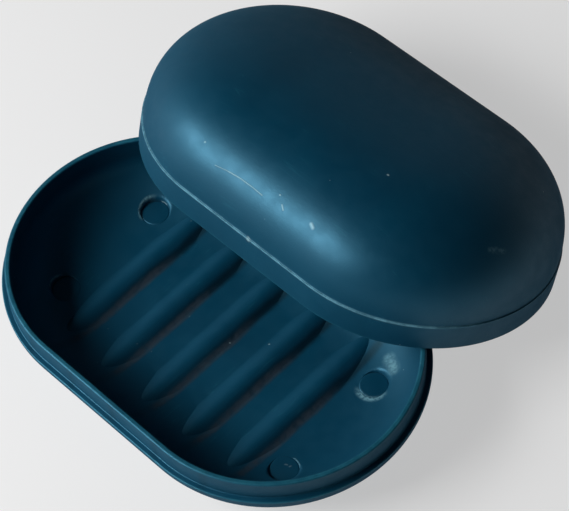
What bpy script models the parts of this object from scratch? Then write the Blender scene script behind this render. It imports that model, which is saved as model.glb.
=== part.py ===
"""Travel soap box: an oval tray with a lift-off domed lid that lies askew on it.

Metres, +Z up. X runs along the tray and Y from its near side to its far side. Z = 0 is the surface that the
tray's feet and the lid's far edge come down to, and the whole is centred over the origin.
"""

import math

import bmesh
import bpy
from mathutils import Matrix, Vector

MM = 0.001

# Plan of both pieces: straight sides joined by half circles
STRAIGHT_HALF = 21.6 * MM
PLAN_RADIUS = 39.9 * MM
END_STEPS = 24

# Walls and clearances
LID_WALL = 1.3 * MM
LIP_WALL = 1.5 * MM
FLOOR_WALL = 1.5 * MM
FIT_CLEARANCE = 0.3 * MM
SEAT_GAP = 0.3 * MM
CUT_OVERRUN = 2.0 * MM

# Tray: upright lip, ledge for the lid, and a bowl that sweeps in to a flat floor
BOWL_DEPTH = 17.5 * MM
LIP_HEIGHT = 5.8 * MM
LIP_ROUNDING = 0.5 * MM
LEDGE_ROUNDING = 0.3 * MM
FLOOR_SWEEP = 22.0 * MM
UNDER_SWEEP = 24.0 * MM
BOWL_STEPS = 10
ROUNDING_STEPS = 3

# Ribs: low wave-shaped bars across the floor that keep the soap out of the water
RIB_COUNT = 5
RIB_PITCH = 15.0 * MM
RIB_WIDTH = 10.0 * MM
RIB_HEIGHT = 1.85 * MM
RIB_STEPS = 12

# Feet: round studs under the floor, each with a level disc above it that sinks into the bowl's slope
FOOT_HEIGHT = 1.0 * MM
FOOT_INSET = 15.1 * MM
FOOT_ANGLE = math.radians(41.3)
FOOT_RADIUS = 5.1 * MM
DISC_RADIUS = 4.0 * MM
DISC_TOP = 3.15 * MM
DISC_OVERLAP = 0.2 * MM
RECESS_RADIUS = 3.8 * MM
FOOT_STEPS = 32

# Lid: straight skirt, a fine step, and a soft dome
SKIRT_HEIGHT = 7.3 * MM
SKIRT_ROUNDING = 0.3 * MM
STEP_WIDTH = 0.4 * MM
DOME_HEIGHT = 24.5 * MM
DOME_EXPONENT = 2.5
CROWN_FLAT = 3.0 * MM
DOME_STEPS = 16

# Place of the lid's open mouth on the tray, seen from above
LID_ASIDE = -1.4 * MM
LID_BACK = 50.4 * MM
TILT_LIMITS = (math.radians(-40.0), 0.0)
ROLL_LIMITS = (math.radians(-5.0), math.radians(5.0))
SEAT_ROUNDS = 6
BISECTION_STEPS = 40
SEAT_SAMPLES = 360

# Colours read from the photograph, as linear values
TRAY_COLOUR = (0.006, 0.075, 0.115, 1.0)
LID_COLOUR = (0.006, 0.070, 0.110, 1.0)
PLASTIC_ROUGHNESS = 0.42
SMOOTH_ANGLE = math.radians(28.0)

# Heights and radii that follow
FLOOR_TOP = FOOT_HEIGHT + FLOOR_WALL
RIM_TOP = FLOOR_TOP + BOWL_DEPTH
LEDGE_TOP = RIM_TOP - LIP_HEIGHT
SKIRT_INNER = PLAN_RADIUS - LID_WALL
LIP_OUTER = SKIRT_INNER - FIT_CLEARANCE
LIP_INNER = LIP_OUTER - LIP_WALL
DOME_RADIUS = PLAN_RADIUS - STEP_WIDTH


def clear_scene():
    for item in list(bpy.data.objects):
        bpy.data.objects.remove(item, do_unlink=True)


def plastic(name, colour):
    material = bpy.data.materials.new(name)
    material.use_nodes = True
    material.diffuse_color = colour
    shader = material.node_tree.nodes["Principled BSDF"]
    shader.inputs["Base Color"].default_value = colour
    shader.inputs["Roughness"].default_value = PLASTIC_ROUGHNESS
    shader.inputs["Metallic"].default_value = 0.0
    return material


def new_object(name, bm):
    bmesh.ops.recalc_face_normals(bm, faces=bm.faces)
    mesh = bpy.data.meshes.new(name)
    bm.to_mesh(mesh)
    bm.free()
    item = bpy.data.objects.new(name, mesh)
    bpy.context.scene.collection.objects.link(item)
    return item


def finish(item, material):
    item.data.materials.append(material)
    item.data.shade_smooth()
    item.data.set_sharp_from_angle(angle=SMOOTH_ANGLE)


def plan_outline(radius, steps):
    """The oval of this radius: half circles about the two end centres."""
    outline = []
    for end in (1, -1):
        for step in range(steps + 1):
            angle = math.pi * (step / steps - 0.5)
            outline.append((end * (STRAIGHT_HALF + radius * math.cos(angle)), end * radius * math.sin(angle)))
    return outline


def distance_from_spine(x, y):
    """Distance from the line that joins the two end centres, which is the radius of the oval through (x, y)."""
    return math.hypot(max(abs(x) - STRAIGHT_HALF, 0.0), y)


def rounded_corner(before, corner, after, radius):
    """Points of an arc that rounds a profile's corner."""
    corner = Vector(corner)
    inward = (Vector(before) - corner).normalized()
    outward = (Vector(after) - corner).normalized()
    half = inward.angle(outward) / 2
    centre = corner + (inward + outward).normalized() * radius / math.sin(half)
    start = corner + inward * radius / math.tan(half) - centre
    sweep = math.pi - 2 * half
    if inward.cross(start) < 0:
        sweep = -sweep
    points = []
    for step in range(ROUNDING_STEPS + 1):
        turn = Matrix.Rotation(sweep * step / ROUNDING_STEPS, 2)
        points.append(tuple(centre + turn @ start))
    return points


def quarter_sweep(flat_radius, flat_height, wall_radius, wall_height):
    """A quarter ellipse that leaves a level floor and ends upright at the wall."""
    points = []
    for step in range(BOWL_STEPS + 1):
        angle = math.pi / 2 * step / BOWL_STEPS
        radius = flat_radius + (wall_radius - flat_radius) * math.sin(angle)
        height = wall_height + (flat_height - wall_height) * math.cos(angle)
        points.append((radius, height))
    return points


def dome_profile(radius, base, height):
    """A soft dome, from its foot to the small flat that closes its crown."""
    last = math.acos((CROWN_FLAT / radius) ** (DOME_EXPONENT / 2))
    points = []
    for step in range(DOME_STEPS + 1):
        angle = last * step / DOME_STEPS
        out = radius * math.cos(angle) ** (2 / DOME_EXPONENT)
        up = base + height * math.sin(angle) ** (2 / DOME_EXPONENT)
        points.append((out, up))
    return points


def loft(name, profile):
    """A closed solid: one oval ring for each (radius, height), with the first and the last one capped."""
    bm = bmesh.new()
    rings = []
    for radius, height in profile:
        rings.append([bm.verts.new((x, y, height)) for x, y in plan_outline(radius, END_STEPS)])
    for lower, upper in zip(rings, rings[1:]):
        count = len(lower)
        for index in range(count):
            after = (index + 1) % count
            bm.faces.new((lower[index], lower[after], upper[after], upper[index]))
    bm.faces.new(rings[0])
    bm.faces.new(rings[-1])
    return new_object(name, bm)


def tray_profile():
    """From the floor up inside, over the lip, out along the ledge, and down under the bowl."""
    inside = quarter_sweep(LIP_INNER - FLOOR_SWEEP, FLOOR_TOP, LIP_INNER, LEDGE_TOP)
    lip_inner_top = (LIP_INNER, RIM_TOP)
    lip_outer_top = (LIP_OUTER, RIM_TOP)
    ledge_inner = (LIP_OUTER, LEDGE_TOP)
    ledge_outer = (PLAN_RADIUS, LEDGE_TOP)
    under_wall = (PLAN_RADIUS, LEDGE_TOP - LEDGE_ROUNDING)
    underside = quarter_sweep(PLAN_RADIUS - UNDER_SWEEP, FOOT_HEIGHT, *under_wall)
    lip = rounded_corner(inside[-1], lip_inner_top, lip_outer_top, LIP_ROUNDING)
    lip += rounded_corner(lip_inner_top, lip_outer_top, ledge_inner, LIP_ROUNDING)
    ledge = [ledge_inner] + rounded_corner(ledge_inner, ledge_outer, under_wall, LEDGE_ROUNDING)
    return inside + lip + ledge + underside[-2::-1]


def mid_wall_plug():
    """A hidden solid that fills the bowl to the middle of its wall, to trim the ribs and the feet against."""
    wall_radius = (LIP_INNER + PLAN_RADIUS) / 2
    flat_radius = (LIP_INNER - FLOOR_SWEEP + PLAN_RADIUS - UNDER_SWEEP) / 2
    floor = FLOOR_TOP - FLOOR_WALL / 2
    profile = quarter_sweep(flat_radius, floor, wall_radius, LEDGE_TOP)
    return loft("mid_wall_plug", profile + [(wall_radius, RIM_TOP + CUT_OVERRUN)])


def rib_bars():
    """Long bars with a wave-shaped top that leaves the floor softly, side by side along the tray."""
    section = [(RIB_WIDTH / 2, FOOT_HEIGHT), (-RIB_WIDTH / 2, FOOT_HEIGHT)]
    for step in range(RIB_STEPS + 1):
        share = step / RIB_STEPS
        up = RIB_HEIGHT * (1 - math.cos(math.tau * share)) / 2
        section.append((RIB_WIDTH * (share - 1 / 2), FLOOR_TOP + up))
    bm = bmesh.new()
    for index in range(RIB_COUNT):
        middle = RIB_PITCH * (index - (RIB_COUNT - 1) / 2)
        near = [bm.verts.new((middle + x, -PLAN_RADIUS, z)) for x, z in section]
        far = [bm.verts.new((middle + x, PLAN_RADIUS, z)) for x, z in section]
        count = len(section)
        for side in range(count):
            after = (side + 1) % count
            bm.faces.new((near[side], near[after], far[after], far[side]))
        bm.faces.new(near)
        bm.faces.new(far)
    return new_object("rib_bars", bm)


def foot_places():
    """Centres of the four feet, seen from above."""
    reach = PLAN_RADIUS - FOOT_INSET
    x = STRAIGHT_HALF + reach * math.cos(FOOT_ANGLE)
    y = reach * math.sin(FOOT_ANGLE)
    return [(x, y), (-x, y), (-x, -y), (x, -y)]


def foot_posts(name, radius, bottom, top):
    """Four round posts, one at each foot."""
    bm = bmesh.new()
    height = top - bottom
    for x, y in foot_places():
        place = Matrix.Translation((x, y, bottom + height / 2))
        bmesh.ops.create_cone(bm, cap_ends=True, segments=FOOT_STEPS, radius1=radius, radius2=radius,
                              depth=height, matrix=place)
    return new_object(name, bm)


def combine(item, operation, other):
    step = item.modifiers.new(other.name, "BOOLEAN")
    step.operation = operation
    step.solver = "EXACT"
    step.object = other
    other.hide_render = True
    other.display_type = "WIRE"


def build_tray():
    tray = loft("base_tray", tray_profile())
    plug = mid_wall_plug()
    ribs = rib_bars()
    combine(ribs, "INTERSECT", plug)
    feet = foot_posts("foot_posts", FOOT_RADIUS, 0.0, LEDGE_TOP)
    combine(feet, "DIFFERENCE", plug)
    recesses = foot_posts("disc_recesses", RECESS_RADIUS, DISC_TOP - DISC_OVERLAP, LEDGE_TOP)
    discs = foot_posts("level_discs", DISC_RADIUS, FOOT_HEIGHT, DISC_TOP)
    combine(tray, "UNION", ribs)
    combine(tray, "UNION", feet)
    combine(tray, "DIFFERENCE", recesses)
    combine(tray, "UNION", discs)
    finish(tray, plastic("tray_plastic", TRAY_COLOUR))
    return tray, [plug, ribs, feet, recesses, discs]


def lid_profile():
    """From the crown down outside, round the skirt's edge, and up inside. Height 0 is the open mouth."""
    outside = dome_profile(DOME_RADIUS, SKIRT_HEIGHT, DOME_HEIGHT)
    inside = dome_profile(DOME_RADIUS - LID_WALL, SKIRT_HEIGHT, DOME_HEIGHT - LID_WALL)
    step_outer = (PLAN_RADIUS, SKIRT_HEIGHT)
    mouth_outer = (PLAN_RADIUS, 0.0)
    mouth_inner = (SKIRT_INNER, 0.0)
    skirt_top_inner = (SKIRT_INNER, SKIRT_HEIGHT)
    edge = rounded_corner(step_outer, mouth_outer, mouth_inner, SKIRT_ROUNDING)
    edge += rounded_corner(mouth_outer, mouth_inner, skirt_top_inner, SKIRT_ROUNDING)
    return outside[::-1] + [step_outer] + edge + [skirt_top_inner] + inside


def mouth_edges():
    """Points along both edges of the skirt's underside, in the lid's own frame."""
    edges = plan_outline(SKIRT_INNER, SEAT_SAMPLES) + plan_outline(PLAN_RADIUS, SEAT_SAMPLES)
    return [Vector((x, y, 0.0)) for x, y in edges]


def lowest_points(edges, tilt, roll):
    """Lowest height of the turned mouth over the rim's left and right side, and over the ground."""
    turn = Matrix.Rotation(roll, 3, "Y") @ Matrix.Rotation(tilt, 3, "X")
    left, right, ground = [], [], []
    for point in edges:
        placed = turn @ point
        x, y = placed.x + LID_ASIDE, placed.y + LID_BACK
        ground.append(placed.z)
        if LIP_INNER <= distance_from_spine(x, y) <= LIP_OUTER:
            side = left if x < 0 else right
            side.append(placed.z)
    return min(left), min(right), min(ground)


def bisect(value, limits):
    """The place between the limits where a value that rises from below 0 to above 0 crosses it."""
    low, high = limits
    for _ in range(BISECTION_STEPS):
        middle = (low + high) / 2
        if value(middle) < 0:
            low = middle
        else:
            high = middle
    return (low + high) / 2


def seat_lid():
    """Tilt, roll and height at which the mouth bears on the rim at both sides and on the ground behind."""
    edges = mouth_edges()
    tilt = roll = 0.0

    def over_ground(angle):
        left, right, ground = lowest_points(edges, angle, roll)
        return RIM_TOP + SEAT_GAP - ((left + right) / 2 - ground)

    def left_over_right(angle):
        left, right, _ = lowest_points(edges, tilt, angle)
        return left - right

    for _ in range(SEAT_ROUNDS):
        tilt = bisect(over_ground, TILT_LIMITS)
        roll = bisect(left_over_right, ROLL_LIMITS)
    left, right, _ = lowest_points(edges, tilt, roll)
    return tilt, roll, RIM_TOP + SEAT_GAP - min(left, right)


def build_lid():
    lid = loft("lid", lid_profile())
    tilt, roll, height = seat_lid()
    place = Matrix.Translation((LID_ASIDE, LID_BACK, height))
    lid.matrix_world = place @ Matrix.Rotation(roll, 4, "Y") @ Matrix.Rotation(tilt, 4, "X")
    finish(lid, plastic("lid_plastic", LID_COLOUR))
    return lid


def centre_over_origin(tray, lid, guides):
    """Hang all pieces on one empty, placed so that the middle of their common box is over the origin."""
    corners = []
    for item in (tray, lid):
        corners += [item.matrix_world @ vertex.co for vertex in item.data.vertices]
    middle_x = (min(c.x for c in corners) + max(c.x for c in corners)) / 2
    middle_y = (min(c.y for c in corners) + max(c.y for c in corners)) / 2
    stand = bpy.data.objects.new("soap_box", None)
    bpy.context.scene.collection.objects.link(stand)
    for item in [tray, lid] + guides:
        item.parent = stand
    stand.location = (-middle_x, -middle_y, 0.0)


def main():
    clear_scene()
    tray, guides = build_tray()
    lid = build_lid()
    bpy.context.view_layer.update()
    centre_over_origin(tray, lid, guides)
    bpy.context.view_layer.update()


main()
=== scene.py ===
"""Looks of the travel soap box: tray and lid in fine-surfaced dark teal plastic, in a pale studio."""

import math

import bmesh
import bpy
from mathutils import Matrix, Vector


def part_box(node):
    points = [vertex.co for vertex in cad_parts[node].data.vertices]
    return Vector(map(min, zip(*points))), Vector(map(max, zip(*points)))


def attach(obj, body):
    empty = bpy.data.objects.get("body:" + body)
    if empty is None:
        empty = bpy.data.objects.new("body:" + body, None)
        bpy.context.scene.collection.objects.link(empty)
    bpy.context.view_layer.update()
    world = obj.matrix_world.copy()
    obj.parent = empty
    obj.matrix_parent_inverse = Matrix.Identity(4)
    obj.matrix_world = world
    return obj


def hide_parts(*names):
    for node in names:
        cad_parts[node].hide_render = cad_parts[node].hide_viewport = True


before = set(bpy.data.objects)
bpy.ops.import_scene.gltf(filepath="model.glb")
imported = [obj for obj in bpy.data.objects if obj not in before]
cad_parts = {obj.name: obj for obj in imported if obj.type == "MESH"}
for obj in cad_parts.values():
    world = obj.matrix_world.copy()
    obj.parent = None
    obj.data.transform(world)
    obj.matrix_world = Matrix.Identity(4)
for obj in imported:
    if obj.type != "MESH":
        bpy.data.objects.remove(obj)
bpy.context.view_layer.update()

MM = 0.001

# Places and plan, from the frame
TRAY_LOW, TRAY_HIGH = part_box("base_tray")
LID_LOW, LID_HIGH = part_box("lid")
TRAY_MIDDLE = Vector(((TRAY_LOW.x + TRAY_HIGH.x) / 2, (TRAY_LOW.y + TRAY_HIGH.y) / 2, 0.0))
LID_BOX_MIDDLE = (LID_LOW + LID_HIGH) / 2
PLAN_RADIUS = (TRAY_HIGH.y - TRAY_LOW.y) / 2
STRAIGHT_HALF = (TRAY_HIGH.x - TRAY_LOW.x) / 2 - PLAN_RADIUS
RIM_TOP = TRAY_HIGH.z

# Walls
LID_WALL = 1.3 * MM
LIP_WALL = 1.5 * MM
FLOOR_WALL = 1.5 * MM
FIT_CLEARANCE = 0.3 * MM

# Tray
BOWL_DEPTH = 17.5 * MM
LIP_HEIGHT = 5.8 * MM
LIP_ROUNDING = 0.5 * MM
LEDGE_ROUNDING = 0.3 * MM
LEDGE_FILLET = 0.35 * MM
FLOOR_SWEEP = 22.0 * MM
UNDER_SWEEP = 24.0 * MM

# Ribs
RIB_COUNT = 5
RIB_PITCH = 15.0 * MM
RIB_WIDTH = 10.0 * MM
RIB_HEIGHT = 1.85 * MM

# Feet and the level discs above them, which sink into the bowl's slope
FOOT_HEIGHT = 1.0 * MM
FOOT_INSET = 15.1 * MM
FOOT_ANGLE = math.radians(41.3)
FOOT_RADIUS = 5.1 * MM
FOOT_ROUNDING = 0.4 * MM
DISC_RADIUS = 4.0 * MM
DISC_TOP = 3.15 * MM
DISC_OVERLAP = 0.2 * MM
DISC_ROUNDING = 0.6 * MM
RECESS_RADIUS = 3.8 * MM
RECESS_ROUNDING = 1.0 * MM
RECESS_LEAN = math.radians(82.0)

# Lid
SKIRT_HEIGHT = 7.3 * MM
SKIRT_ROUNDING = 0.3 * MM
STEP_WIDTH = 0.4 * MM
STEP_ROUNDING = 0.16 * MM
DOME_HEIGHT = 24.5 * MM
DOME_EXPONENT = 2.5
LID_TILT = math.radians(-17.779)
LID_ROLL = math.radians(-0.303)

# How finely the surfaces are divided
END_STEPS = 72
SIDE_STEPS = 12
SWEEP_STEPS = 40
DOME_STEPS = 56
CORNER_STEPS = 10
RIB_STEPS = 28
ROUND_STEPS = 72
WELD = 0.001 * MM
OVERRUN = 2.0 * MM
LEAST_ROUNDING_SHARE = 0.05
SMOOTH_ANGLE = math.radians(12.0)

# Sizes that follow
FLOOR_TOP = RIM_TOP - BOWL_DEPTH
LEDGE_TOP = RIM_TOP - LIP_HEIGHT
SKIRT_INNER = PLAN_RADIUS - LID_WALL
LIP_OUTER = SKIRT_INNER - FIT_CLEARANCE
LIP_INNER = LIP_OUTER - LIP_WALL
DOME_RADIUS = PLAN_RADIUS - STEP_WIDTH
FLAT_RADIUS = LIP_INNER - FLOOR_SWEEP

# Plastic: colours as linear values, texture sizes in millimetres
TEAL_DEEP = (0.0, 0.036, 0.073, 1.0)
TEAL_LIGHT = (0.0, 0.042, 0.083, 1.0)
# Pale rubbed teal: wear, and painted highlight where it lies along the rim and ledge edges
RUBBED_AND_EDGE_HIGHLIGHT = (0.03, 0.21, 0.28, 1.0)
SCUFFED = (0.16, 0.34, 0.40, 1.0)
DUST = (0.34, 0.50, 0.54, 1.0)
# Painted highlight along the top of the lid's step
SEAM_HIGHLIGHT = (0.18, 0.42, 0.53, 1.0)
# Grey film: dried soap, and a painted reflection in the rib's shaded flank
SOAP_AND_REFLECTION = (0.030, 0.031, 0.040, 1.0)
# Painted shade on the ribs' flanks away from the window
FLANK_SHADE = (0.0, 0.005, 0.010, 1.0)
SPECULAR_LEVEL = 0.92
SPECULAR_TINT = (0.24, 0.7, 1.0, 1.0)
ROUGHNESS = 0.45
GLOSS_SPREAD = 0.06
MATTE_FROM = 0.1
EDGE_ROUGHER = 0.55
WEAR_ROUGHER = 0.25
GRAIN_SIZE = 0.45
CLOUD_SIZE = 18.0
GRAIN_DEPTH = 0.028 * MM
MARK_LIFT = 1.5
RUBBED_PATCH_SHARE = 0.22
HAIRLINE_PATCH = 9.0
SCUFF_LUMPS = 0.7
SMUDGE_LUMPS = 1.1
LID_SCUFF_LUMPS = 0.8
EDGE_LUMPS = 3.0

# Widths of the wear and painted highlight at rim and ledge, of the painted highlight line on the step and
# of the wear at the mouth, and where the step's painted highlight fades in towards the near side, in
# millimetres
RIM_WEAR_AND_HIGHLIGHT = 0.75
LEDGE_WEAR_AND_HIGHLIGHT = 0.6
SEAM_HIGHLIGHT_WIDTH = 0.52
MOUTH_WEAR = 0.7
SEAM_HIGHLIGHT_LIT_SIDE = (-8.0, -30.0)

# Dried soap with a painted reflection, and painted shade, on the ribs' shaded flanks, in the tray's own
# millimetres
FLANK_FROM_CREST = 4.6
SOAP_REFLECTION_INWARD = 0.8
SOAP_REFLECTION_REACH = 1.5
FLANK_WANDER = 1.4
FLANK_WANDER_LENGTH = 11.0
SOAP_REFLECTION_LUMPS = 1.6
SOAP_REFLECTION_NEAR_END = (-28.5, -25.0)
SOAP_REFLECTION_FAR_END = (13.0, 1.0)
SOAP_REFLECTION_HEIGHTS = (5.6, 4.8)
# Where the painted shade lies on the flank, and how it grows towards the lid
FLANK_SHADE_INWARD = 1.1
FLANK_SHADE_REACH = 2.0
FLANK_SHADE_TOWARD_LID = (-27.0, 2.0)

# How much of its own colour each mark lays over the plastic
# Painted shade on the ribs' flanks
FLANK_SHADE_SHARE = 0.85
# Dried soap with a painted reflection
SOAP_AND_REFLECTION_SHARE = 0.8
# Wear and painted highlight along the rim and ledge edges
TRAY_EDGE_WEAR_AND_HIGHLIGHT_SHARE = 0.42
TRAY_HAIRLINE_SHARE = 0.12
TRAY_SCUFF_SHARE = 0.85
TRAY_NICK_SHARE = 0.6
MOUTH_SHARE = 0.3
LID_HAIRLINE_SHARE = 0.1
LID_SCUFF_SHARE = 0.4
LID_SPECK_SHARE = 0.8

# Marks seen in the photograph, in each piece's own millimetres: start, end and width
LID_SCRATCHES = [
    ((-15.3, -37.0, 18.7), (-11.2, -36.6, 19.4), 0.17),
    ((-11.2, -36.6, 19.4), (-7.2, -36.4, 19.8), 0.24),
    ((-7.2, -36.4, 19.8), (-3.0, -36.3, 19.8), 0.24),
    ((-3.0, -36.3, 19.8), (0.6, -36.4, 19.7), 0.24)]
LID_SPECKS = [
    ((-21.2, -35.2, 21.3), (-21.1, -35.2, 21.4), 0.4),
    ((4.8, -34.7, 21.9), (4.9, -34.7, 21.9), 0.35),
    ((6.8, -35.8, 20.6), (7.8, -36.3, 19.9), 0.35),
    ((16.4, -35.4, 21.0), (17.3, -35.8, 20.7), 0.75),
    ((22.0, -15.8, 30.8), (22.2, -15.8, 30.8), 0.4),
    ((1.2, -39.8, 7.4), (1.6, -39.8, 7.2), 0.8)]
LID_SCUFFS = [((52.0, -9.5, 24.3), (54.0, -6.5, 23.9), 1.2)]
TRAY_SMUDGES = [((38.9, 23.6, 5.5), (41.6, 22.2, 5.8), 2.6)]
TRAY_NICKS = [
    ((11.6, 7.3, 3.1), (11.8, 7.3, 3.1), 0.35),
    ((3.8, 0.8, 2.8), (3.9, 0.9, 2.8), 0.3),
    ((39.4, -15.2, 3.4), (39.9, -14.9, 3.4), 0.4),
    ((40.7, -14.9, 3.4), (40.8, -14.5, 3.4), 0.4),
    ((-41.2, 20.0, 3.6), (-39.6, 20.2, 3.6), 0.4)]

# Scuffs round the level discs, from the far right anticlockwise: way faced, reach, radius, width
DISC_SCUFFS = [
    ((0.42, -0.91, 0.0), 0.25, 4.3, 1.3),
    ((-0.97, -0.24, 0.0), 0.3, 4.2, 0.6),
    ((-0.97, -0.24, 0.0), 0.7, 4.1, 0.3),
    ((0.3, 0.95, 0.0), 0.85, 4.0, 0.2)]

# Studio: pale floor and wall, the window light and the air
FLOOR_SPAN = 3.0
WALL_RISE = 1.2
STUDIO_STEPS = 96
FLOOR_GLOW_SHARE = 0.5
WALL_GLOW_SHARE = 0.25
STUDIO_PAINT = (0.8, 0.8, 0.8, 1.0)
PLAIN_WHITE = (1.0, 1.0, 1.0)
WINDOW_AZIMUTH = math.radians(-125.0)
WINDOW_ELEVATION = math.radians(35.0)
WINDOW_DISTANCE = 0.62
WINDOW_WIDTH = 0.46
WINDOW_RISE = 0.24
WINDOW_POWER = 4.5
AIR_COLOUR = (0.8, 0.9, 1.0, 1.0)
AIR_STRENGTH = 0.03

# Camera: the photograph's viewing angle and its frame
SENSOR_WIDTH = 36.0
NEAREST_SEEN = 0.01
FARTHEST_SEEN = 20.0
FRAME_WIDTH_PX = 569
FOCAL_PX = 2239.7
CAMERA_FROM_RIM = Vector((250.649, -184.649, 472.901)) * MM
CAMERA_AZIMUTH = math.radians(49.976)
CAMERA_ELEVATION = math.radians(55.773)
CAMERA_ROLL = math.radians(-6.860)


def arc_corner(before, corner, after, radius):
    """Points of the arc that rounds a profile's corner."""
    corner = Vector(corner)
    inward = (Vector(before) - corner).normalized()
    outward = (Vector(after) - corner).normalized()
    half = inward.angle(outward) / 2
    centre = corner + (inward + outward).normalized() * radius / math.sin(half)
    start = corner + inward * radius / math.tan(half) - centre
    sweep = math.pi - 2 * half
    if inward.cross(start) < 0:
        sweep = -sweep
    turns = [Matrix.Rotation(sweep * step / CORNER_STEPS, 2) for step in range(CORNER_STEPS + 1)]
    return [tuple(centre + turn @ start) for turn in turns]


def quarter_sweep(flat_radius, flat_height, wall_radius, wall_height):
    """A quarter ellipse that leaves a level floor and ends upright at the wall."""
    points = []
    for step in range(SWEEP_STEPS + 1):
        angle = math.pi / 2 * step / SWEEP_STEPS
        radius = flat_radius + (wall_radius - flat_radius) * math.sin(angle)
        points.append((radius, wall_height + (flat_height - wall_height) * math.cos(angle)))
    return points


def dome_sweep(radius, base, height):
    """The soft dome's profile, from its foot to its crown on the middle line."""
    points = []
    for step in range(DOME_STEPS + 1):
        angle = math.pi / 2 * step / DOME_STEPS
        out = radius * max(math.cos(angle), 0.0) ** (2 / DOME_EXPONENT)
        points.append((out, base + height * math.sin(angle) ** (2 / DOME_EXPONENT)))
    points[-1] = (0.0, base + height)
    return points


def oval_solid(profile):
    """Sweeps a profile of (radius, height) points round the oval: side, half turn, side, half turn."""
    bm = bmesh.new()
    corners = [bm.verts.new((-STRAIGHT_HALF, -radius, height)) for radius, height in profile]
    chain = [bm.edges.new(pair) for pair in zip(corners, corners[1:])]
    for end in (1, -1):
        for _ in range(SIDE_STEPS):
            made = bmesh.ops.extrude_edge_only(bm, edges=chain)["geom"]
            moved = [item for item in made if isinstance(item, bmesh.types.BMVert)]
            chain = [item for item in made if isinstance(item, bmesh.types.BMEdge)]
            bmesh.ops.translate(bm, verts=moved, vec=(end * 2 * STRAIGHT_HALF / SIDE_STEPS, 0, 0))
        chain = [edge for edge in chain if all(vert in moved for vert in edge.verts)]
        turned = bmesh.ops.spin(bm, geom=moved + chain, cent=(end * STRAIGHT_HALF, 0, 0), axis=(0, 0, 1),
                                angle=math.pi, steps=END_STEPS, use_merge=False, use_duplicate=False)
        chain = [item for item in turned["geom_last"] if isinstance(item, bmesh.types.BMEdge)]
    bmesh.ops.remove_doubles(bm, verts=bm.verts, dist=WELD)
    bmesh.ops.dissolve_degenerate(bm, edges=bm.edges, dist=WELD)
    bmesh.ops.recalc_face_normals(bm, faces=bm.faces)
    return bm


def turned_solid(profile, middle):
    """Turns a profile of (radius, height) points a full turn about an upright line through middle."""
    bm = bmesh.new()
    corners = [bm.verts.new((middle[0] + radius, middle[1], height)) for radius, height in profile]
    chain = [bm.edges.new(pair) for pair in zip(corners, corners[1:])]
    bmesh.ops.spin(bm, geom=corners + chain, cent=(middle[0], middle[1], 0), axis=(0, 0, 1),
                   angle=math.tau, steps=ROUND_STEPS, use_merge=True, use_duplicate=False)
    bmesh.ops.remove_doubles(bm, verts=bm.verts, dist=WELD)
    bmesh.ops.dissolve_degenerate(bm, edges=bm.edges, dist=WELD)
    bmesh.ops.recalc_face_normals(bm, faces=bm.faces)
    return bm


def new_object(name, bm):
    mesh = bpy.data.meshes.new(name)
    bm.to_mesh(mesh)
    bm.free()
    item = bpy.data.objects.new(name, mesh)
    bpy.context.scene.collection.objects.link(item)
    return item


def joined(name, items):
    """One object from several that stand clear of each other."""
    bm = bmesh.new()
    for item in items:
        bm.from_mesh(item.data)
        bpy.data.objects.remove(item, do_unlink=True)
    return new_object(name, bm)


def combine(item, operation, other):
    """Joins, cuts or trims item with other, for good, and takes other away."""
    step = item.modifiers.new(other.name, "BOOLEAN")
    step.operation = operation
    step.solver = "EXACT"
    step.object = other
    evaluated = item.evaluated_get(bpy.context.evaluated_depsgraph_get())
    mesh = bpy.data.meshes.new_from_object(evaluated)
    item.modifiers.clear()
    item.data = mesh
    bpy.data.objects.remove(other, do_unlink=True)


def bowl_height(x, y):
    """Height of the bowl's inside over a point of the tray's plan."""
    radius = math.hypot(max(abs(x) - STRAIGHT_HALF, 0.0), y)
    rise = min(max((radius - FLAT_RADIUS) / FLOOR_SWEEP, 0.0), 1.0)
    return LEDGE_TOP + (FLOOR_TOP - LEDGE_TOP) * math.sqrt(1 - rise * rise)


def tray_profile():
    """Floor, bowl, lip, ledge and underside, from the middle line inside to the middle line below."""
    inside = quarter_sweep(FLAT_RADIUS, FLOOR_TOP, LIP_INNER, LEDGE_TOP)
    lip_inner_top = (LIP_INNER, RIM_TOP)
    lip_outer_top = (LIP_OUTER, RIM_TOP)
    ledge_inner = (LIP_OUTER, LEDGE_TOP)
    ledge_outer = (PLAN_RADIUS, LEDGE_TOP)
    under_wall = (PLAN_RADIUS, LEDGE_TOP - LEDGE_ROUNDING)
    lip = arc_corner(inside[-1], lip_inner_top, lip_outer_top, LIP_ROUNDING)
    lip += arc_corner(lip_inner_top, lip_outer_top, ledge_inner, LIP_ROUNDING)
    ledge = arc_corner(lip_outer_top, ledge_inner, ledge_outer, LEDGE_FILLET)
    ledge += arc_corner(ledge_inner, ledge_outer, under_wall, LEDGE_ROUNDING)
    underside = quarter_sweep(PLAN_RADIUS - UNDER_SWEEP, FOOT_HEIGHT, *under_wall)[-2::-1]
    return [(0.0, FLOOR_TOP)] + inside + lip + ledge + underside + [(0.0, FOOT_HEIGHT)]


def wall_plug():
    """Fills the bowl to the middle of its wall, to trim the ribs and the feet against."""
    wall_radius = (LIP_INNER + PLAN_RADIUS) / 2
    flat_radius = (FLAT_RADIUS + PLAN_RADIUS - UNDER_SWEEP) / 2
    floor = FLOOR_TOP - FLOOR_WALL / 2
    top = RIM_TOP + OVERRUN
    sweep = quarter_sweep(flat_radius, floor, wall_radius, LEDGE_TOP)
    return new_object("wall_plug", oval_solid([(0.0, floor)] + sweep + [(wall_radius, top), (0.0, top)]))


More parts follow.
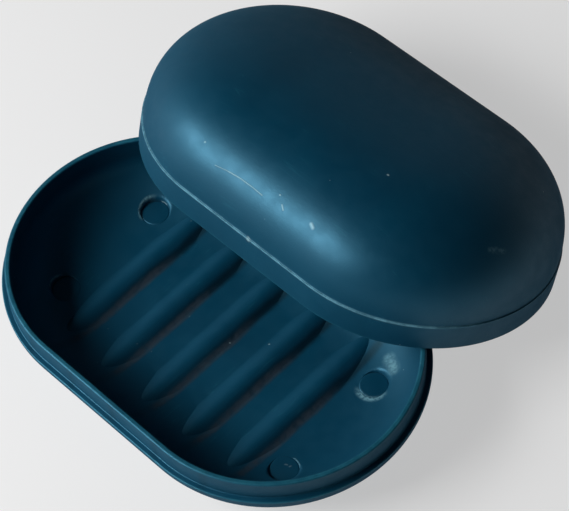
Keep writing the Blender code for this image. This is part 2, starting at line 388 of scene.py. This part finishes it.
def rib_bars():
    """Bars with a wave-shaped top that leaves the floor softly, one beside another."""
    bm = bmesh.new()
    for index in range(RIB_COUNT):
        middle = RIB_PITCH * (index - (RIB_COUNT - 1) / 2)
        section = [(middle + RIB_WIDTH / 2, FOOT_HEIGHT), (middle - RIB_WIDTH / 2, FOOT_HEIGHT)]
        for step in range(RIB_STEPS + 1):
            share = step / RIB_STEPS
            up = RIB_HEIGHT * (1 - math.cos(math.tau * share)) / 2
            section.append((middle + RIB_WIDTH * (share - 1 / 2), FLOOR_TOP + up))
        near = bm.faces.new([bm.verts.new((x, -PLAN_RADIUS, z)) for x, z in section])
        made = bmesh.ops.extrude_face_region(bm, geom=[near], use_keep_orig=True)["geom"]
        moved = [item for item in made if isinstance(item, bmesh.types.BMVert)]
        bmesh.ops.translate(bm, verts=moved, vec=(0, 2 * PLAN_RADIUS, 0))
    bmesh.ops.recalc_face_normals(bm, faces=bm.faces)
    return new_object("rib_bars", bm)


def foot_places():
    reach = PLAN_RADIUS - FOOT_INSET
    x = STRAIGHT_HALF + reach * math.cos(FOOT_ANGLE)
    y = reach * math.sin(FOOT_ANGLE)
    return [(x, y), (-x, y), (-x, -y), (x, -y)]


def round_post(name, place, radius, bottom, top, rounding):
    """An upright post with a softened lower and upper edge."""
    profile = [(0.0, bottom)] + arc_corner((0.0, bottom), (radius, bottom), (radius, top), rounding)
    profile += arc_corner((radius, bottom), (radius, top), (0.0, top), rounding) + [(0.0, top)]
    return new_object(name, turned_solid(profile, place))


def recess_cutter(place):
    """Frees a level disc from the slope above it, with a rim that rounds over into the slope."""
    floor = DISC_TOP - DISC_OVERLAP
    mark = LEDGE_TOP
    profile = [(0.0, floor), (RECESS_RADIUS, floor)]
    for step in range(CORNER_STEPS + 1):
        angle = RECESS_LEAN * step / CORNER_STEPS
        out = RECESS_RADIUS + RECESS_ROUNDING * (1 - math.cos(angle))
        profile.append((out, mark - RECESS_ROUNDING * (1 - math.sin(angle))))
    profile.append((profile[-1][0] + OVERRUN, profile[-1][1] + OVERRUN / math.tan(RECESS_LEAN)))
    profile.append((profile[-1][0], mark + OVERRUN))
    profile.append((0.0, mark + OVERRUN))
    bm = turned_solid(profile, place)
    middle = Vector(place)
    for vert in bm.verts:
        above = vert.co.z - mark
        if above < -RECESS_ROUNDING - WELD:
            continue
        slope = bowl_height(vert.co.x, vert.co.y)
        share = min(max((slope - DISC_TOP) / RECESS_ROUNDING, LEAST_ROUNDING_SHARE), 1.0)
        out = vert.co.xy - middle
        if RECESS_RADIUS < out.length < RECESS_RADIUS + RECESS_ROUNDING:
            vert.co.xy = middle + out.normalized() * (RECESS_RADIUS + (out.length - RECESS_RADIUS) * share)
        vert.co.z = max(slope, DISC_TOP) + (above * share if above < 0 else above)
    return new_object("recess_cutter", bm)


def finish_piece(item, place, body, node, material):
    """Keeps each point's own millimetres, sets the piece down in the frame and hangs it on its body."""
    places = item.data.attributes.new("place_mm", "FLOAT_VECTOR", "POINT")
    places.data.foreach_set("vector", [value / MM for vert in item.data.vertices for value in vert.co])
    item.data.transform(place)
    item.data.materials.clear()
    item.data.materials.append(material)
    item.data.shade_smooth()
    item.data.set_sharp_from_angle(angle=SMOOTH_ANGLE)
    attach(item, body)
    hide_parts(node)


def build_tray(material):
    tray = new_object("ribbed_tray", oval_solid(tray_profile()))
    ribs = rib_bars()
    combine(ribs, "INTERSECT", wall_plug())
    combine(tray, "UNION", ribs)
    places = foot_places()
    posts = [round_post("foot", place, FOOT_RADIUS, 0.0, LEDGE_TOP, FOOT_ROUNDING)
             for place in places]
    feet = joined("feet", posts)
    combine(feet, "DIFFERENCE", wall_plug())
    combine(tray, "UNION", feet)
    combine(tray, "DIFFERENCE", joined("recesses", [recess_cutter(place) for place in places]))
    posts = [round_post("disc", place, DISC_RADIUS, FOOT_HEIGHT, DISC_TOP, DISC_ROUNDING)
             for place in places]
    combine(tray, "UNION", joined("level_discs", posts))
    finish_piece(tray, Matrix.Translation(TRAY_MIDDLE), "tray", "base_tray", material)


def lid_profile():
    """Crown, dome, step, skirt and the same inside. Height 0 is the open mouth."""
    outside = dome_sweep(DOME_RADIUS, SKIRT_HEIGHT, DOME_HEIGHT)
    inside = dome_sweep(DOME_RADIUS - LID_WALL, SKIRT_HEIGHT, DOME_HEIGHT - LID_WALL)
    step_outer = (PLAN_RADIUS, SKIRT_HEIGHT)
    mouth_outer = (PLAN_RADIUS, 0.0)
    mouth_inner = (SKIRT_INNER, 0.0)
    skirt_top_inner = (SKIRT_INNER, SKIRT_HEIGHT)
    step = arc_corner(outside[0], step_outer, mouth_outer, STEP_ROUNDING)
    edge = arc_corner(step_outer, mouth_outer, mouth_inner, SKIRT_ROUNDING)
    edge += arc_corner(mouth_outer, mouth_inner, skirt_top_inner, SKIRT_ROUNDING)
    return outside[::-1] + step + edge + [skirt_top_inner] + inside


def lid_place(lid):
    """The lid's lean, with the middle of its box where the frame's lid has it."""
    lean = Matrix.Rotation(LID_ROLL, 4, "Y") @ Matrix.Rotation(LID_TILT, 4, "X")
    corners = [lean @ vert.co for vert in lid.data.vertices]
    low = Vector([min(corner[axis] for corner in corners) for axis in range(3)])
    high = Vector([max(corner[axis] for corner in corners) for axis in range(3)])
    return Matrix.Translation(LID_BOX_MIDDLE - (low + high) / 2) @ lean


def build_lid(material):
    lid = new_object("domed_lid", oval_solid(lid_profile()))
    finish_piece(lid, lid_place(lid), "lid", "lid", material)


def new_group(name, inputs, outputs):
    """A shader node group: its tree, the sockets it reads from and the sockets it writes to."""
    group = bpy.data.node_groups.new(name, "ShaderNodeTree")
    for label, kind, value in inputs:
        socket = group.interface.new_socket(label, in_out="INPUT", socket_type="NodeSocket" + kind)
        if value is not None:
            socket.default_value = value
    for label, kind in outputs:
        group.interface.new_socket(label, in_out="OUTPUT", socket_type="NodeSocket" + kind)
    return group, group.nodes.new("NodeGroupInput").outputs, group.nodes.new("NodeGroupOutput").inputs


def feed(tree, node, values):
    """Links each socket, and writes each plain value, into the node's inputs in order."""
    for target, value in zip(node.inputs, values):
        if isinstance(value, bpy.types.NodeSocket):
            tree.links.new(value, target)
        else:
            target.default_value = value
    return node


def maths(tree, operation, *values):
    node = tree.nodes.new("ShaderNodeMath")
    node.operation = operation
    return feed(tree, node, values).outputs[0]


def vector_maths(tree, operation, *values):
    node = tree.nodes.new("ShaderNodeVectorMath")
    node.operation = operation
    feed(tree, node, values)
    return node.outputs["Value" if operation in ("LENGTH", "DOT_PRODUCT") else "Vector"]


def fade(tree, value, start, end, low=0.0, high=1.0):
    """Goes softly from low, where value is at start, to high, where it is at end."""
    node = tree.nodes.new("ShaderNodeMapRange")
    node.interpolation_type = "SMOOTHSTEP"
    return feed(tree, node, (value, start, end, low, high)).outputs["Result"]


def noise(tree, place, size, detail=2.0, rough=0.5):
    """Soft noise from 0 to 1 with lumps of this size in millimetres."""
    node = tree.nodes.new("ShaderNodeTexNoise")
    tree.links.new(place, node.inputs["Vector"])
    scale = maths(tree, "DIVIDE", 1.0, size)
    tree.links.new(scale, node.inputs["Scale"])
    node.inputs["Detail"].default_value = detail
    node.inputs["Roughness"].default_value = rough
    return node.outputs[0]


def parts_of(tree, vector):
    node = tree.nodes.new("ShaderNodeSeparateXYZ")
    return feed(tree, node, (vector,)).outputs


def blend(tree, factor, first, second):
    """Mixes two colours."""
    node = tree.nodes.new("ShaderNodeMix")
    node.data_type = "RGBA"
    for label, value in (("Factor_Float", factor), ("A_Color", first), ("B_Color", second)):
        target = next(socket for socket in node.inputs if socket.identifier == label)
        if isinstance(value, bpy.types.NodeSocket):
            tree.links.new(value, target)
        else:
            target.default_value = value
    return next(socket for socket in node.outputs if socket.identifier == "Result_Color")


def grain_group():
    """The fine moulded texture, its broad cloudiness, and how glossy it is from place to place."""
    tree, source, result = new_group(
        "moulded_grain",
        [("Place", "Vector", None), ("Grain Size", "Float", 0.4), ("Cloud Size", "Float", 18.0)],
        [("Height", "Float"), ("Cloud", "Float"), ("Gloss", "Float")])
    fine = noise(tree, source["Place"], source["Grain Size"], 3.0, 0.6)
    cloud = noise(tree, source["Place"], source["Cloud Size"], 3.0, 0.55)
    patch = maths(tree, "MULTIPLY", source["Cloud Size"], RUBBED_PATCH_SHARE)
    rubbed = noise(tree, source["Place"], patch, 4.0, 0.6)
    tree.links.new(fine, result["Height"])
    tree.links.new(fade(tree, cloud, 0.3, 0.7), result["Cloud"])
    tree.links.new(fade(tree, rubbed, 0.35, 0.65), result["Gloss"])
    return tree


def hairline_group():
    """Fine scratches that run one way, in patches."""
    tree, source, result = new_group(
        "hairlines",
        [("Place", "Vector", None), ("Along", "Vector", (0.05, 1.0, 0.4)), ("Spacing", "Float", 2.5),
         ("Thinness", "Float", 0.012)],
        [("Mask", "Float")])
    drawn = vector_maths(tree, "MULTIPLY", source["Place"], source["Along"])
    field = noise(tree, drawn, source["Spacing"], 1.0, 0.4)
    away = maths(tree, "ABSOLUTE", maths(tree, "SUBTRACT", field, 0.5))
    line = fade(tree, away, source["Thinness"], 0.0)
    patch = fade(tree, noise(tree, source["Place"], HAIRLINE_PATCH, 1.0), 0.52, 0.66)
    tree.links.new(maths(tree, "MULTIPLY", line, patch), result["Mask"])
    return tree


def stroke_group():
    """One mark along a straight line, strongest on the line and soft at its sides."""
    tree, source, result = new_group(
        "stroke", [("Place", "Vector", None), ("Start", "Vector", (0, 0, 0)), ("End", "Vector", (1, 0, 0)),
                   ("Width", "Float", 0.4)], [("Mask", "Float")])
    along = vector_maths(tree, "SUBTRACT", source["End"], source["Start"])
    offset = vector_maths(tree, "SUBTRACT", source["Place"], source["Start"])
    share = maths(tree, "DIVIDE", vector_maths(tree, "DOT_PRODUCT", offset, along),
                  vector_maths(tree, "DOT_PRODUCT", along, along))
    held = maths(tree, "MINIMUM", maths(tree, "MAXIMUM", share, 0.0), 1.0)
    spread = tree.nodes.new("ShaderNodeCombineXYZ")
    feed(tree, spread, (held, held, held))
    nearest = vector_maths(tree, "MULTIPLY", along, spread.outputs[0])
    away = vector_maths(tree, "LENGTH", vector_maths(tree, "SUBTRACT", offset, nearest))
    tree.links.new(fade(tree, away, source["Width"], 0.0), result["Mask"])
    return tree


def ring_group():
    """A scuffed part of a circle, on the side that faces Toward."""
    tree, source, result = new_group(
        "ring_scuff", [("Place", "Vector", None), ("Centre", "Vector", (0, 0, 0)), ("Radius", "Float", 4.0),
                       ("Width", "Float", 0.6), ("Toward", "Vector", (0, -1, 0)), ("Reach", "Float", 0.4)],
        [("Mask", "Float")])
    offset = vector_maths(tree, "SUBTRACT", source["Place"], source["Centre"])
    flat = vector_maths(tree, "MULTIPLY", offset, (1, 1, 0))
    radius = vector_maths(tree, "LENGTH", flat)
    away = maths(tree, "ABSOLUTE", maths(tree, "SUBTRACT", radius, source["Radius"]))
    side = vector_maths(tree, "DOT_PRODUCT", vector_maths(tree, "NORMALIZE", flat), source["Toward"])
    broken = fade(tree, noise(tree, source["Place"], SCUFF_LUMPS, 3.0, 0.6), 0.36, 0.58, 0.25, 1.0)
    line = fade(tree, away, source["Width"], 0.0)
    arc = maths(tree, "MULTIPLY", line, fade(tree, side, source["Reach"], 1.0))
    tree.links.new(maths(tree, "MULTIPLY", arc, broken), result["Mask"])
    return tree


def oval_edge_group():
    """A band along an edge that runs round the oval at one radius and height, laid as wear and as painted
    highlight.
    """
    tree, source, result = new_group(
        "oval_edge_wear_and_highlight",
        [("Place", "Vector", None), ("Straight Half", "Float", 20.0), ("Radius", "Float", 40.0),
         ("Height", "Float", 0.0), ("Width", "Float", 0.5)],
        [("Mask", "Float")])
    x, y, z = parts_of(tree, source["Place"])
    along = maths(tree, "SUBTRACT", maths(tree, "ABSOLUTE", x), source["Straight Half"])
    past_end = maths(tree, "MAXIMUM", along, 0.0)
    radius = maths(tree, "SQRT", maths(tree, "ADD", maths(tree, "MULTIPLY", past_end, past_end),
                                       maths(tree, "MULTIPLY", y, y)))
    aside = maths(tree, "SUBTRACT", radius, source["Radius"])
    above = maths(tree, "SUBTRACT", z, source["Height"])
    away = maths(tree, "SQRT", maths(tree, "ADD", maths(tree, "MULTIPLY", aside, aside),
                                     maths(tree, "MULTIPLY", above, above)))
    broken = fade(tree, noise(tree, source["Place"], EDGE_LUMPS, 4.0, 0.65), 0.35, 0.65, 0.5, 1.0)
    tree.links.new(maths(tree, "MULTIPLY", fade(tree, away, source["Width"], 0.0), broken), result["Mask"])
    return tree


def speck_group():
    """Scattered specks of dust and tiny nicks."""
    tree, source, result = new_group(
        "specks", [("Place", "Vector", None), ("Spacing", "Float", 3.0), ("Size", "Float", 0.05),
                   ("Share", "Float", 0.3)], [("Mask", "Float")])
    cells = tree.nodes.new("ShaderNodeTexVoronoi")
    tree.links.new(source["Place"], cells.inputs["Vector"])
    tree.links.new(maths(tree, "DIVIDE", 1.0, source["Spacing"]), cells.inputs["Scale"])
    chosen = maths(tree, "LESS_THAN", parts_of(tree, cells.outputs["Color"])[0], source["Share"])
    near = fade(tree, cells.outputs["Distance"], source["Size"], 0.0)
    tree.links.new(maths(tree, "MULTIPLY", near, chosen), result["Mask"])
    return tree


def rib_flank_group():
    """Dried soap with a painted reflection on each rib's shaded flank, away from the window, and painted
    shade over that flank, stronger towards the lid.
    """
    tree, source, result = new_group(
        "rib_flank_marks", [("Place", "Vector", None), ("Pitch", "Float", 15.0), ("Half Width", "Float", 4.5),
                        ("Last", "Float", 37.5)],
        [("Soap And Reflection", "Float"), ("Painted Shade", "Float")])
    x, y, z = parts_of(tree, source["Place"])
    turn = maths(tree, "ADD", maths(tree, "DIVIDE", x, source["Pitch"]), 0.5)
    aside = maths(tree, "SUBTRACT", maths(tree, "FRACT", turn), 0.5)
    from_middle = maths(tree, "MULTIPLY", aside, source["Pitch"])
    drift = maths(tree, "SUBTRACT", noise(tree, source["Place"], FLANK_WANDER_LENGTH, 4.0, 0.6), 0.5)
    wander = maths(tree, "MULTIPLY", drift, FLANK_WANDER)
    from_foot = maths(tree, "SUBTRACT", maths(tree, "ADD", from_middle, wander), source["Half Width"])
    away = maths(tree, "ABSOLUTE", maths(tree, "ADD", from_foot, SOAP_REFLECTION_INWARD))
    span = maths(tree, "MULTIPLY", fade(tree, y, *SOAP_REFLECTION_FAR_END), fade(tree, y, *SOAP_REFLECTION_NEAR_END))
    last_full = maths(tree, "SUBTRACT", source["Last"], 0.5)
    on_ribs = fade(tree, maths(tree, "ABSOLUTE", x), source["Last"], last_full)
    on_floor = maths(tree, "MULTIPLY", fade(tree, z, *SOAP_REFLECTION_HEIGHTS), on_ribs)
    broken = fade(tree, noise(tree, source["Place"], SOAP_REFLECTION_LUMPS, 5.0, 0.7), 0.3, 0.6, 0.35, 1.0)
    # The grey film stands for dried soap and for a painted reflection near the flank's foot
    band = maths(tree, "MULTIPLY", fade(tree, away, SOAP_REFLECTION_REACH, 0.2), span)
    soap_reflection_mask = maths(tree, "MULTIPLY", band, on_floor)
    tree.links.new(maths(tree, "MULTIPLY", soap_reflection_mask, broken), result["Soap And Reflection"])
    # Painted shade over the shaded flank, stronger towards the lid
    beside = maths(tree, "ABSOLUTE", maths(tree, "ADD", from_foot, FLANK_SHADE_INWARD))
    flank = fade(tree, beside, FLANK_SHADE_REACH, 0.3)
    toward_lid = maths(tree, "MULTIPLY", fade(tree, y, *FLANK_SHADE_TOWARD_LID, 0.3, 1.0), on_ribs)
    tree.links.new(maths(tree, "MULTIPLY", flank, toward_lid), result["Painted Shade"])
    return tree


def place_group(tree, group, place, values):
    """Sets a group down in a material, with its place and these values, and returns its outputs."""
    node = tree.nodes.new("ShaderNodeGroup")
    node.node_tree = group
    tree.links.new(place, node.inputs["Place"])
    for label, value in values.items():
        node.inputs[label].default_value = value
    return node.outputs


def add_marks(tree, colour, mask, strength, tint):
    """Lays a mask of one tint over the colour."""
    return blend(tree, maths(tree, "MULTIPLY", mask, strength), colour, tint)


def largest(tree, masks):
    """The strongest of several masks."""
    total = masks[0]
    for mask in masks[1:]:
        total = maths(tree, "MAXIMUM", total, mask)
    return total


def start_plastic(name):
    """A teal plastic's tree, with its grain, its colour so far and its place socket."""
    material = bpy.data.materials.new(name)
    material.use_nodes = True
    tree = material.node_tree
    attribute = tree.nodes.new("ShaderNodeAttribute")
    attribute.attribute_name = "place_mm"
    place = attribute.outputs["Vector"]
    grain = place_group(tree, GROUPS["grain"], place, {"Grain Size": GRAIN_SIZE, "Cloud Size": CLOUD_SIZE})
    colour = blend(tree, grain["Cloud"], TEAL_DEEP, TEAL_LIGHT)
    return material, tree, place, grain, colour


def close_plastic(material, grain, colour, wear, raised):
    """Joins colour, roughness and bump to the shader. Wear roughens the surface, and raised lifts it."""
    tree = material.node_tree
    shader = tree.nodes["Principled BSDF"]
    shader.inputs["Specular IOR Level"].default_value = SPECULAR_LEVEL
    shader.inputs["Specular Tint"].default_value = SPECULAR_TINT
    tree.links.new(colour, shader.inputs["Base Color"])
    weight = tree.nodes.new("ShaderNodeLayerWeight")
    weight.inputs["Blend"].default_value = 0.5
    edge = fade(tree, weight.outputs["Facing"], MATTE_FROM, 1.0, 0.0, EDGE_ROUGHER)
    rubbed = maths(tree, "MULTIPLY", maths(tree, "SUBTRACT", grain["Gloss"], 0.5), GLOSS_SPREAD)
    rough = maths(tree, "ADD", maths(tree, "ADD", rubbed, ROUGHNESS), edge)
    worn = maths(tree, "MULTIPLY", wear, WEAR_ROUGHER)
    tree.links.new(maths(tree, "MINIMUM", maths(tree, "ADD", rough, worn), 1.0), shader.inputs["Roughness"])
    bump = tree.nodes.new("ShaderNodeBump")
    bump.inputs["Strength"].default_value = 1.0
    bump.inputs["Distance"].default_value = GRAIN_DEPTH
    lifted = maths(tree, "MULTIPLY", raised, MARK_LIFT)
    tree.links.new(maths(tree, "ADD", grain["Height"], lifted), bump.inputs["Height"])
    tree.links.new(bump.outputs["Normal"], shader.inputs["Normal"])
    return material


def oval_edge_mask(tree, place, radius, height, width):
    values = {"Straight Half": STRAIGHT_HALF / MM, "Radius": radius / MM, "Height": height / MM,
              "Width": width}
    return place_group(tree, GROUPS["oval_edge"], place, values)["Mask"]


def strokes(tree, place, marks):
    """The strongest of several strokes, each a start, an end and a width in millimetres."""
    masks = []
    for start, end, width in marks:
        values = {"Start": start, "End": end, "Width": width}
        masks.append(place_group(tree, GROUPS["stroke"], place, values)["Mask"])
    return largest(tree, masks)


def tray_plastic():
    material, tree, place, grain, colour = start_plastic("worn_teal_tray")
    flank_paint = place_group(tree, GROUPS["flank_paint"], place, {
        "Pitch": RIB_PITCH / MM, "Half Width": FLANK_FROM_CREST, "Last": RIB_COUNT * RIB_PITCH / MM / 2})
    scuffs = []
    for centre, (toward, reach, radius, width) in zip(foot_places(), DISC_SCUFFS):
        values = {"Centre": (centre[0] / MM, centre[1] / MM, 0.0), "Radius": radius, "Width": width,
                  "Toward": toward, "Reach": reach}
        scuffs.append(place_group(tree, GROUPS["ring"], place, values)["Mask"])
    scuff = largest(tree, scuffs)
    smudge = strokes(tree, place, TRAY_SMUDGES)
    broken = fade(tree, noise(tree, place, SMUDGE_LUMPS, 3.0, 0.6), 0.3, 0.65, 0.3, 1.0)
    cloudy = maths(tree, "MULTIPLY", smudge, broken)
    nicks = strokes(tree, place, TRAY_NICKS)
    values = {"Along": (1.0, 0.06, 0.4), "Spacing": 1.6}
    hair = place_group(tree, GROUPS["hairlines"], place, values)["Mask"]
    dust = place_group(tree, GROUPS["specks"], place, {"Spacing": 3.4, "Size": 0.06, "Share": 0.22})["Mask"]
    # Wear and painted highlight along the rim's two edges and the ledge's outer edge
    rim_inner = oval_edge_mask(tree, place, LIP_INNER + LIP_ROUNDING, RIM_TOP, RIM_WEAR_AND_HIGHLIGHT)
    rim_outer = oval_edge_mask(tree, place, LIP_OUTER - LIP_ROUNDING, RIM_TOP, RIM_WEAR_AND_HIGHLIGHT)
    ledge = oval_edge_mask(tree, place, PLAN_RADIUS, LEDGE_TOP, LEDGE_WEAR_AND_HIGHLIGHT)
    edges = largest(tree, [rim_inner, rim_outer, ledge])
    # Painted shade on the ribs' flanks away from the window
    colour = add_marks(tree, colour, flank_paint["Painted Shade"], FLANK_SHADE_SHARE, FLANK_SHADE)
    # Dried soap with a painted reflection on the ribs' shaded flanks
    colour = add_marks(tree, colour, flank_paint["Soap And Reflection"], SOAP_AND_REFLECTION_SHARE, SOAP_AND_REFLECTION)
    colour = add_marks(tree, colour, edges, TRAY_EDGE_WEAR_AND_HIGHLIGHT_SHARE, RUBBED_AND_EDGE_HIGHLIGHT)
    colour = add_marks(tree, colour, hair, TRAY_HAIRLINE_SHARE, RUBBED_AND_EDGE_HIGHLIGHT)
    colour = add_marks(tree, colour, largest(tree, [cloudy, scuff]), TRAY_SCUFF_SHARE, SCUFFED)
    colour = add_marks(tree, colour, largest(tree, [nicks, dust]), TRAY_NICK_SHARE, DUST)
    wear = largest(tree, [flank_paint["Soap And Reflection"], scuff, cloudy])
    raised = largest(tree, [flank_paint["Soap And Reflection"], scuff, nicks])
    return close_plastic(material, grain, colour, wear, raised)


def lid_plastic():
    material, tree, place, grain, colour = start_plastic("satin_teal_lid")
    scratch = strokes(tree, place, LID_SCRATCHES)
    specks = strokes(tree, place, LID_SPECKS)
    scuff = strokes(tree, place, LID_SCUFFS)
    broken = fade(tree, noise(tree, place, LID_SCUFF_LUMPS, 3.0, 0.6), 0.35, 0.6)
    rubbed_off = maths(tree, "MULTIPLY", scuff, broken)
    values = {"Along": (0.05, 1.0, 0.4), "Spacing": 1.8}
    hair = place_group(tree, GROUPS["hairlines"], place, values)["Mask"]
    dust = place_group(tree, GROUPS["specks"], place, {"Spacing": 4.2, "Size": 0.05, "Share": 0.2})["Mask"]
    # Painted highlight along the top of the step, stronger on the near side, towards the window
    line = oval_edge_mask(tree, place, PLAN_RADIUS - STEP_WIDTH / 2, SKIRT_HEIGHT, SEAM_HIGHLIGHT_WIDTH)
    lit_side = fade(tree, parts_of(tree, place)[1], *SEAM_HIGHLIGHT_LIT_SIDE, 0.25, 1.0)
    seam_highlight = maths(tree, "MULTIPLY", line, lit_side)
    mouth = oval_edge_mask(tree, place, PLAN_RADIUS, 0.0, MOUTH_WEAR)
    colour = add_marks(tree, colour, seam_highlight, 1.0, SEAM_HIGHLIGHT)
    colour = add_marks(tree, colour, mouth, MOUTH_SHARE, RUBBED_AND_EDGE_HIGHLIGHT)
    colour = add_marks(tree, colour, hair, LID_HAIRLINE_SHARE, RUBBED_AND_EDGE_HIGHLIGHT)
    colour = add_marks(tree, colour, rubbed_off, LID_SCUFF_SHARE, SCUFFED)
    colour = add_marks(tree, colour, largest(tree, [scratch, specks, dust]), LID_SPECK_SHARE, DUST)
    return close_plastic(material, grain, colour, rubbed_off, largest(tree, [scratch, specks]))


def studio_white(name, glow_share):
    """White that the lamps light, and that the camera and any gloss see partly as its own glow."""
    material = bpy.data.materials.new(name)
    material.use_nodes = True
    tree = material.node_tree
    tree.nodes.clear()
    paint = tree.nodes.new("ShaderNodeBsdfDiffuse")
    paint.inputs["Color"].default_value = STUDIO_PAINT
    glow = tree.nodes.new("ShaderNodeEmission")
    glow.inputs["Color"].default_value = (*PLAIN_WHITE, 1.0)
    glow.inputs["Strength"].default_value = 1.0
    rays = tree.nodes.new("ShaderNodeLightPath").outputs
    seen = maths(tree, "ADD", rays["Is Camera Ray"], rays["Is Glossy Ray"])
    seen_at_all = maths(tree, "ADD", seen, rays["Is Transmission Ray"])
    share = maths(tree, "MULTIPLY", seen_at_all, glow_share)
    mix = feed(tree, tree.nodes.new("ShaderNodeMixShader"), (share, paint.outputs[0], glow.outputs[0]))
    output = tree.nodes.new("ShaderNodeOutputMaterial")
    tree.links.new(mix.outputs[0], output.inputs["Surface"])
    return material


def build_studio():
    bm = bmesh.new()
    bmesh.ops.create_circle(bm, cap_ends=True, segments=STUDIO_STEPS, radius=FLOOR_SPAN)
    floor = new_object("studio_floor", bm)
    floor.data.materials.append(studio_white("floor_white", FLOOR_GLOW_SHARE))
    bm = bmesh.new()
    bmesh.ops.create_circle(bm, cap_ends=False, segments=STUDIO_STEPS, radius=FLOOR_SPAN)
    made = bmesh.ops.extrude_edge_only(bm, edges=list(bm.edges))["geom"]
    raised = [item for item in made if isinstance(item, bmesh.types.BMVert)]
    bmesh.ops.translate(bm, verts=raised, vec=(0, 0, WALL_RISE))
    wall = new_object("studio_wall", bm)
    wall.data.materials.append(studio_white("wall_white", WALL_GLOW_SHARE))


def build_light():
    """The window, a soft lamp aimed at the object's middle at rim height, and a little light in the air."""
    data = bpy.data.lights.new("window_light", "AREA")
    data.shape = "RECTANGLE"
    data.size = WINDOW_WIDTH
    data.size_y = WINDOW_RISE
    data.energy = WINDOW_POWER
    data.color = PLAIN_WHITE
    window = bpy.data.objects.new("window_light", data)
    bpy.context.scene.collection.objects.link(window)
    toward = Vector((math.cos(WINDOW_AZIMUTH) * math.cos(WINDOW_ELEVATION),
                     math.sin(WINDOW_AZIMUTH) * math.cos(WINDOW_ELEVATION), math.sin(WINDOW_ELEVATION)))
    window.location = Vector((0, 0, RIM_TOP)) + toward * WINDOW_DISTANCE
    window.rotation_euler = (-toward).to_track_quat("-Z", "Y").to_euler()
    world = bpy.data.worlds.new("studio_air")
    world.use_nodes = True
    air = world.node_tree.nodes["Background"]
    air.inputs["Color"].default_value = AIR_COLOUR
    air.inputs["Strength"].default_value = AIR_STRENGTH
    bpy.context.scene.world = world


def build_camera():
    back = Vector((math.sin(CAMERA_AZIMUTH) * math.cos(CAMERA_ELEVATION),
                   -math.cos(CAMERA_AZIMUTH) * math.cos(CAMERA_ELEVATION), math.sin(CAMERA_ELEVATION)))
    level_right = Vector((math.cos(CAMERA_AZIMUTH), math.sin(CAMERA_AZIMUTH), 0.0))
    level_up = back.cross(level_right)
    right = level_right * math.cos(CAMERA_ROLL) + level_up * math.sin(CAMERA_ROLL)
    data = bpy.data.cameras.new("camera")
    data.sensor_width = SENSOR_WIDTH
    data.sensor_fit = "HORIZONTAL"
    data.lens = data.sensor_width * FOCAL_PX / FRAME_WIDTH_PX
    data.clip_start = NEAREST_SEEN
    data.clip_end = FARTHEST_SEEN
    camera = bpy.data.objects.new("camera", data)
    bpy.context.scene.collection.objects.link(camera)
    turn = Matrix((right, back.cross(right), back)).transposed()
    place = TRAY_MIDDLE + Vector((0, 0, RIM_TOP)) + CAMERA_FROM_RIM
    camera.matrix_world = Matrix.Translation(place) @ turn.to_4x4()
    bpy.context.scene.camera = camera


GROUPS = {
    "grain": grain_group(),
    "hairlines": hairline_group(),
    "stroke": stroke_group(),
    "ring": ring_group(),
    "oval_edge": oval_edge_group(),
    "specks": speck_group(),
    "flank_paint": rib_flank_group(),
}
build_tray(tray_plastic())
build_lid(lid_plastic())
build_studio()
build_light()
build_camera()
bpy.context.scene.view_settings.view_transform = "Standard"
